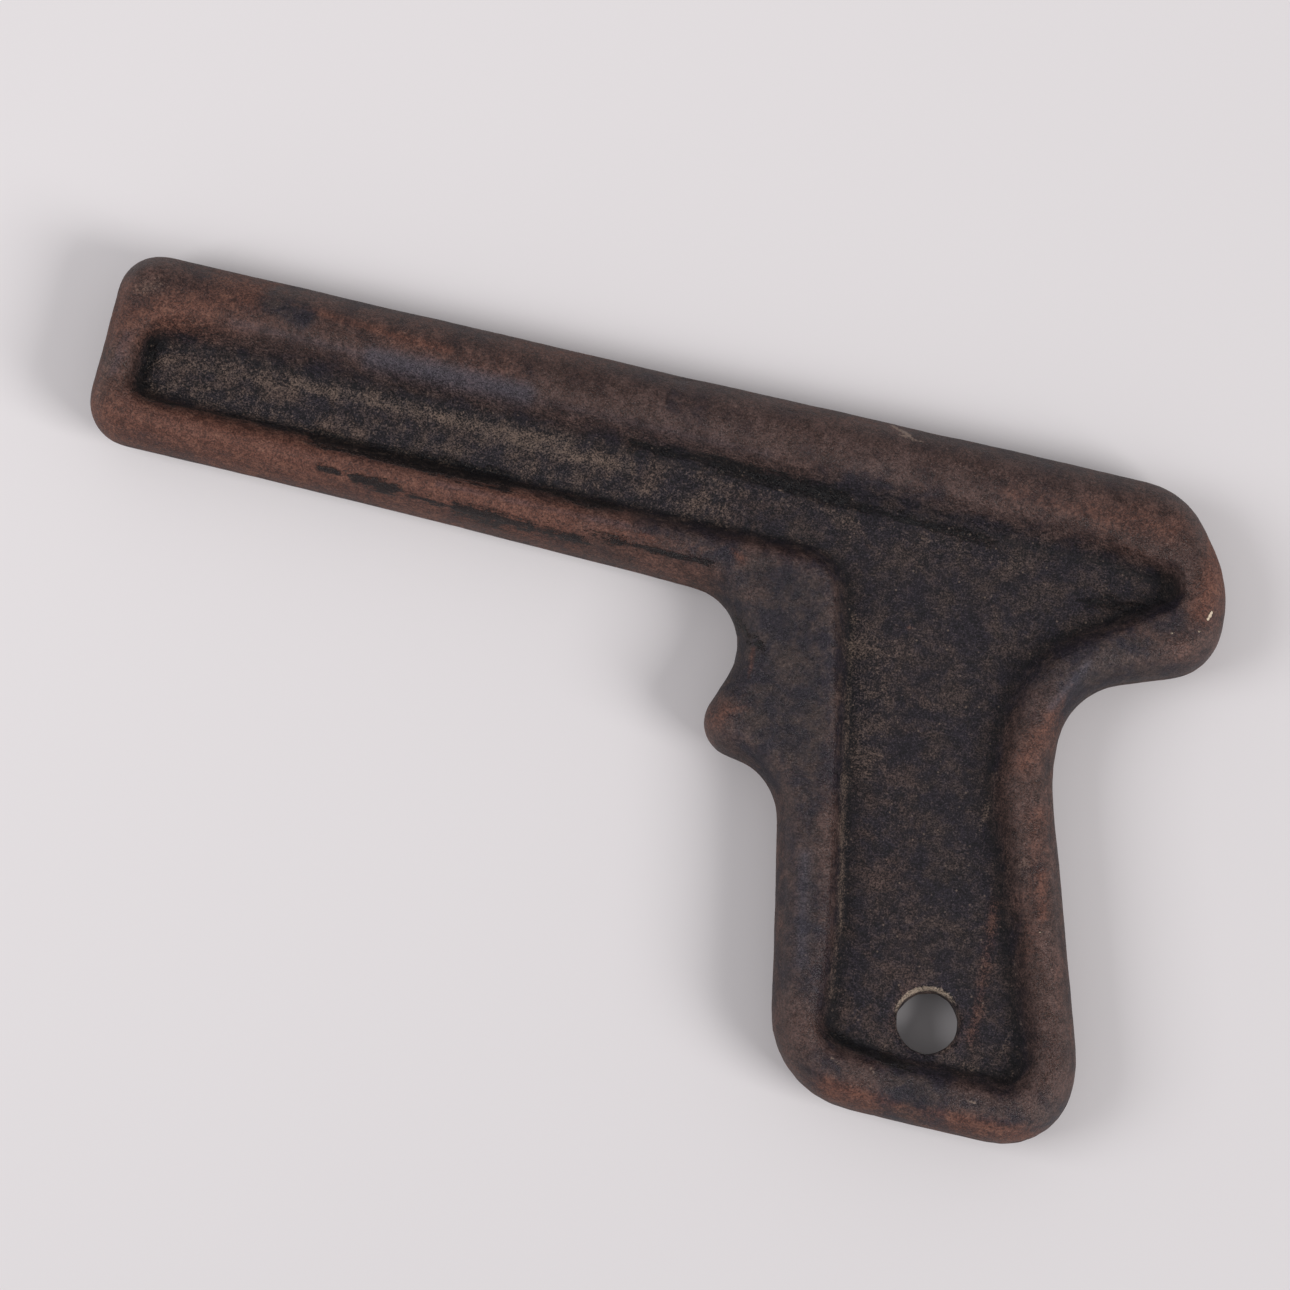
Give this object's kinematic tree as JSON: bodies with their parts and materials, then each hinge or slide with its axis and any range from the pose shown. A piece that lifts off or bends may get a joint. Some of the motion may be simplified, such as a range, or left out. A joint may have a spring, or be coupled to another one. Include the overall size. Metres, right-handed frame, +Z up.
{
  "type": "pistol-shaped cast-iron hand piece",
  "caption": "One-piece sand-cast iron hand piece in a pistol outline: a sunken web inside rounded rims, a trigger nub, and a round hole in the grip for hanging it up.",
  "frame": {"origin": "centre of the casting's outline, on the plane that it lies on", "axes": "+X from the muzzle end to the rear end, +Y from the grip's end to the barrel's top, +Z up through the thickness"},
  "size_m": [0.2216, 0.1298, 0.0174],
  "materials": {
    "iron": "rust-brown and black patina over sand-cast grain"
  },
  "bodies": {
    "root": {"iron_casting": "iron"}
  },
  "joints": []
}
